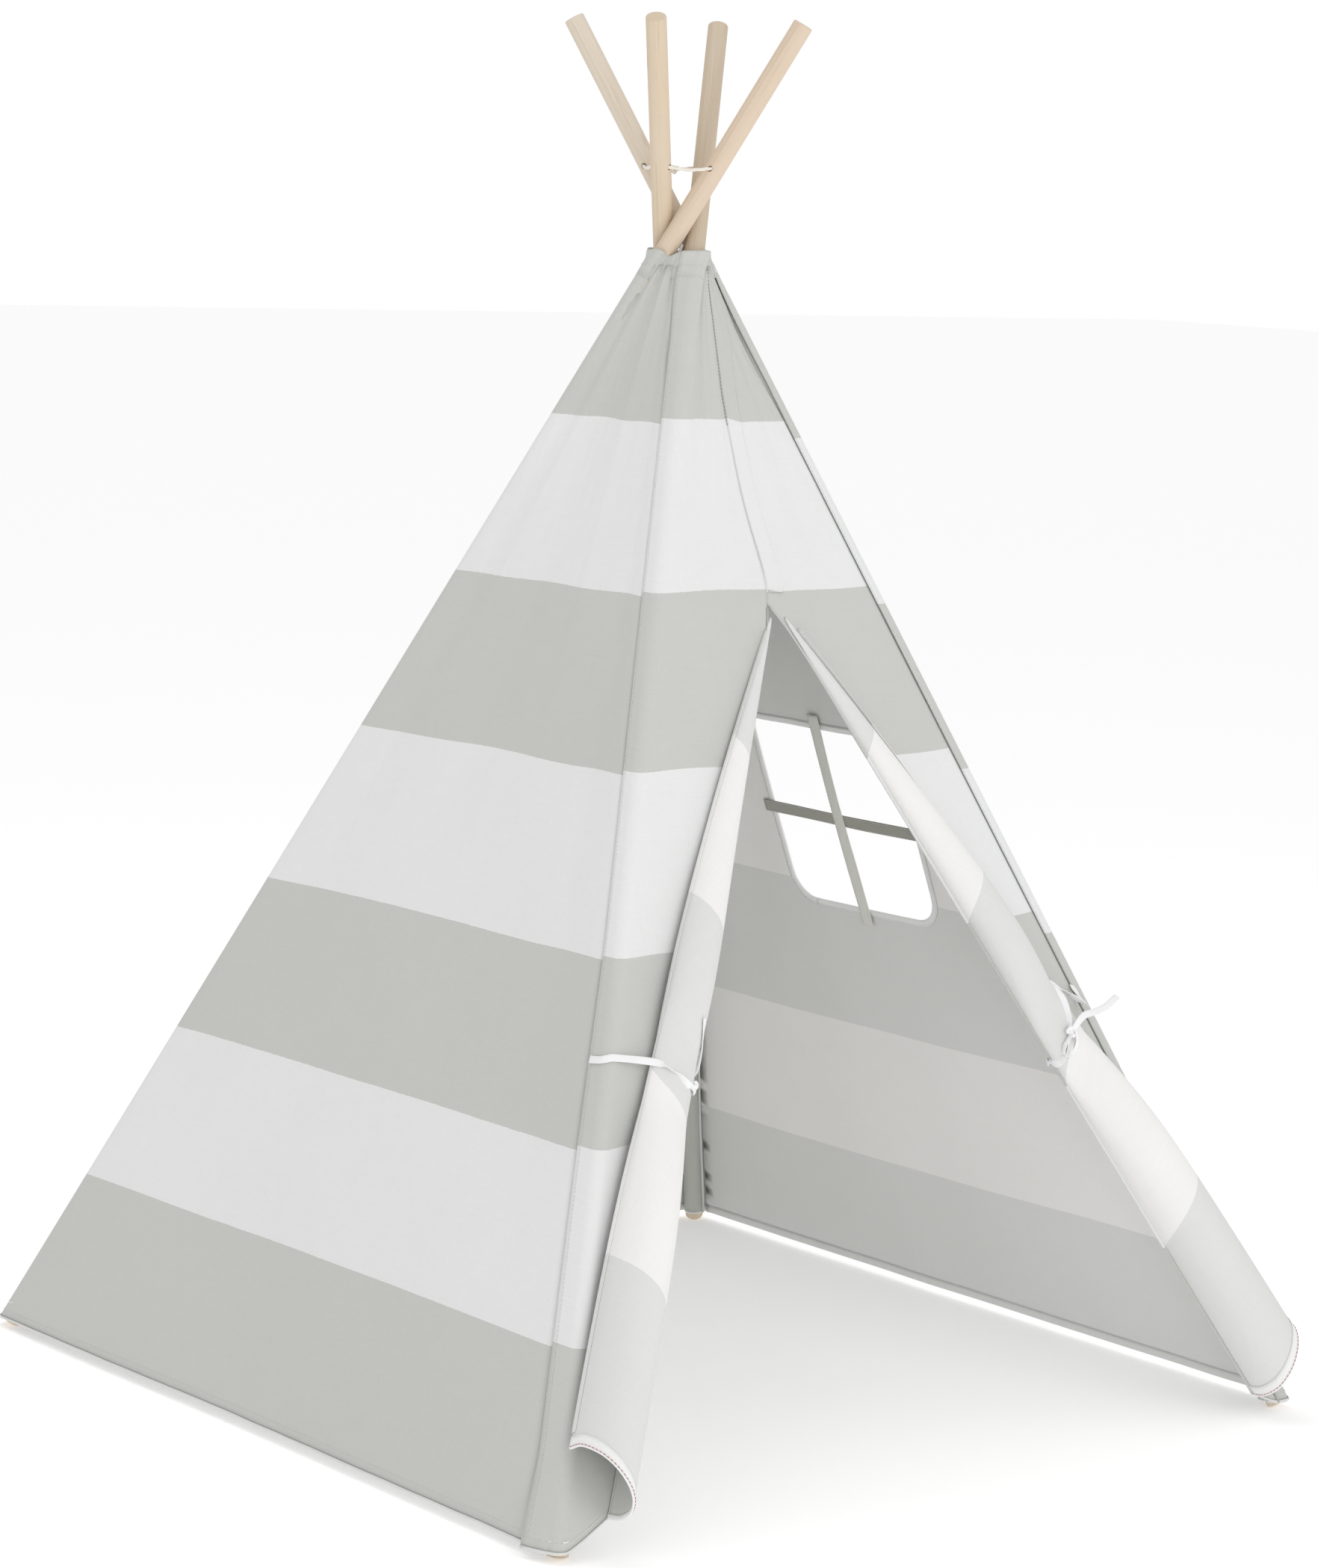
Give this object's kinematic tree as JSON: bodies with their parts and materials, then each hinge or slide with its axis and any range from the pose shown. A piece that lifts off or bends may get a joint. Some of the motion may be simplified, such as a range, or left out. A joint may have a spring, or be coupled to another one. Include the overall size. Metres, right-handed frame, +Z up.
{
  "type": "teepee tent",
  "caption": "Child's play teepee tent with lashed wooden poles, a striped cotton cover, tied-back door flaps and a strapped window.",
  "frame": {"origin": "on the floor, under the point where the poles cross", "axes": "+Z up, the doorway faces -Y, the window is on the +X side"},
  "size_m": [1.1578, 1.206, 1.6197],
  "materials": {
    "pole_wood": "sanded bare softwood dowel, fine grain and small knots",
    "ferrule_steel": "plain rolled tube, hidden under the sleeve",
    "striped_cotton": "plain-weave cotton canvas in wide sage grey and white stripes",
    "sleeve_cotton": "plain-weave cotton, grey",
    "lashing_cotton": "twisted natural cotton cord",
    "white_tape": "woven white cotton tape",
    "white_binding": "folded white bias binding, stitched",
    "strap_light": "light beige-grey cotton strip",
    "strap_dark": "dark grey cotton strip"
  },
  "bodies": {
    "crown": {"lashing_cord": "lashing_cotton", "lashing_knot": "lashing_cotton", "collar_hem": "striped_cotton", "crown_tape": "white_tape"},
    "front_left_pole": {"pole_front_left_lower": "pole_wood", "pole_front_left_upper": "pole_wood", "ferrule_front_left": "ferrule_steel", "sleeve_front_left": "sleeve_cotton", "tie_left": "white_tape", "tie_knot_left": "white_tape"},
    "front_right_pole": {"pole_front_right_lower": "pole_wood", "pole_front_right_upper": "pole_wood", "ferrule_front_right": "ferrule_steel", "sleeve_front_right": "sleeve_cotton", "tie_right": "white_tape", "tie_knot_right": "white_tape"},
    "back_right_pole": {"pole_back_right_lower": "pole_wood", "pole_back_right_upper": "pole_wood", "ferrule_back_right": "ferrule_steel", "sleeve_back_right": "sleeve_cotton"},
    "back_left_pole": {"pole_back_left_lower": "pole_wood", "pole_back_left_upper": "pole_wood", "ferrule_back_left": "ferrule_steel", "sleeve_back_left": "sleeve_cotton"},
    "front_cover": {"cover_front": "striped_cotton", "centre_pleat": "striped_cotton", "door_side_left": "striped_cotton", "door_side_right": "striped_cotton", "door_hem_left": "white_binding", "door_hem_right": "white_binding"},
    "right_cover": {"cover_right": "striped_cotton", "hem_right": "white_binding", "window_binding": "white_binding", "window_strap_vertical": "strap_light", "window_strap_horizontal": "strap_dark"},
    "back_cover": {"cover_back": "striped_cotton", "hem_back": "white_binding"},
    "left_cover": {"cover_left": "striped_cotton", "hem_left": "white_binding"},
    "left_door_edge": {"door_edge_left": "striped_cotton"},
    "right_door_edge": {"door_edge_right": "striped_cotton"},
    "left_flap": {"flap_left": "striped_cotton", "flap_hem_left": "white_binding"},
    "right_flap": {"flap_right": "striped_cotton", "flap_hem_right": "white_binding"}
  },
  "joints": [
    {"name": "fold", "type": "hinge", "parent": "crown", "child": "front_left_pole", "pos_m": [0.01414, -0.01414, 1.372], "axis": [0.7071, -0.7071, 0], "range_deg": [0, 26.5], "deforming": ["cover_front", "centre_pleat", "door_side_left", "door_side_right", "door_hem_left", "door_hem_right", "cover_right", "hem_right", "window_binding", "window_strap_vertical", "window_strap_horizontal", "cover_back", "hem_back", "cover_left", "hem_left", "door_edge_left", "door_edge_right", "flap_left", "flap_hem_left", "flap_right", "flap_hem_right", "lashing_cord", "lashing_knot", "collar_hem", "crown_tape", "tie_left", "tie_knot_left", "tie_right", "tie_knot_right"]},
    {"name": "fold_front_right", "type": "hinge", "parent": "crown", "child": "front_right_pole", "pos_m": [0.01414, 0.01414, 1.372], "axis": [0.7071, 0.7071, 0], "range_deg": [0, 26.5]},
    {"name": "fold_back_right", "type": "hinge", "parent": "crown", "child": "back_right_pole", "pos_m": [-0.01414, 0.01414, 1.372], "axis": [-0.7071, 0.7071, 0], "range_deg": [0, 26.5]},
    {"name": "fold_back_left", "type": "hinge", "parent": "crown", "child": "back_left_pole", "pos_m": [-0.01414, -0.01414, 1.372], "axis": [-0.7071, -0.7071, 0], "range_deg": [0, 26.5]},
    {"name": "fold_cover_front", "type": "hinge", "parent": "crown", "child": "front_cover", "pos_m": [0.00037, -0.0145, 1.372], "axis": [0.9997, 0.0257, 0], "range_deg": [-0.5, 20.19]},
    {"name": "fold_cover_right", "type": "hinge", "parent": "crown", "child": "right_cover", "pos_m": [0.0145, 0.00037, 1.372], "axis": [-0.0257, 0.9997, 0], "range_deg": [-0.5, 20.19]},
    {"name": "fold_cover_back", "type": "hinge", "parent": "crown", "child": "back_cover", "pos_m": [-0.00037, 0.0145, 1.372], "axis": [-0.9997, -0.0257, 0], "range_deg": [-0.5, 20.19]},
    {"name": "fold_cover_left", "type": "hinge", "parent": "crown", "child": "left_cover", "pos_m": [-0.0145, -0.00037, 1.372], "axis": [0.0257, -0.9997, 0], "range_deg": [-0.5, 20.19]},
    {"name": "fold_door_left", "type": "hinge", "parent": "front_cover", "child": "left_door_edge", "pos_m": [0.0051, -0.19817, 0.952], "axis": [0.0239, -0.9312, 0.3637], "range_deg": [-0.5, 23.86]},
    {"name": "flap_left_close", "type": "hinge", "parent": "left_door_edge", "child": "left_flap", "pos_m": [0.0051, -0.19817, 0.952], "axis": [0.4366, 0.337, 0.8341], "range_deg": [0, 160], "deforming": ["flap_left", "flap_hem_left", "tie_left", "tie_knot_left"]},
    {"name": "fold_door_right", "type": "hinge", "parent": "front_cover", "child": "right_door_edge", "pos_m": [0.0051, -0.19817, 0.952], "axis": [-0.0239, 0.9312, -0.3637], "range_deg": [-0.5, 23.86]},
    {"name": "flap_right_close", "type": "hinge", "parent": "right_door_edge", "child": "right_flap", "pos_m": [0.0051, -0.19817, 0.952], "axis": [0.4533, -0.3141, -0.8341], "range_deg": [0, 160], "deforming": ["flap_right", "flap_hem_right", "tie_right", "tie_knot_right"]}
  ],
  "couplings": [
    {"joint": "fold_front_right", "follows": "fold", "ratio": 1},
    {"joint": "fold_back_right", "follows": "fold", "ratio": 1},
    {"joint": "fold_back_left", "follows": "fold", "ratio": 1},
    {"joint": "fold_cover_front", "follows": "fold", "ratio": 0.74291},
    {"joint": "fold_cover_right", "follows": "fold", "ratio": 0.74291},
    {"joint": "fold_cover_back", "follows": "fold", "ratio": 0.74291},
    {"joint": "fold_cover_left", "follows": "fold", "ratio": 0.74291},
    {"joint": "fold_door_left", "follows": "fold", "ratio": 0.88155},
    {"joint": "fold_door_right", "follows": "fold", "ratio": 0.88155}
  ]
}
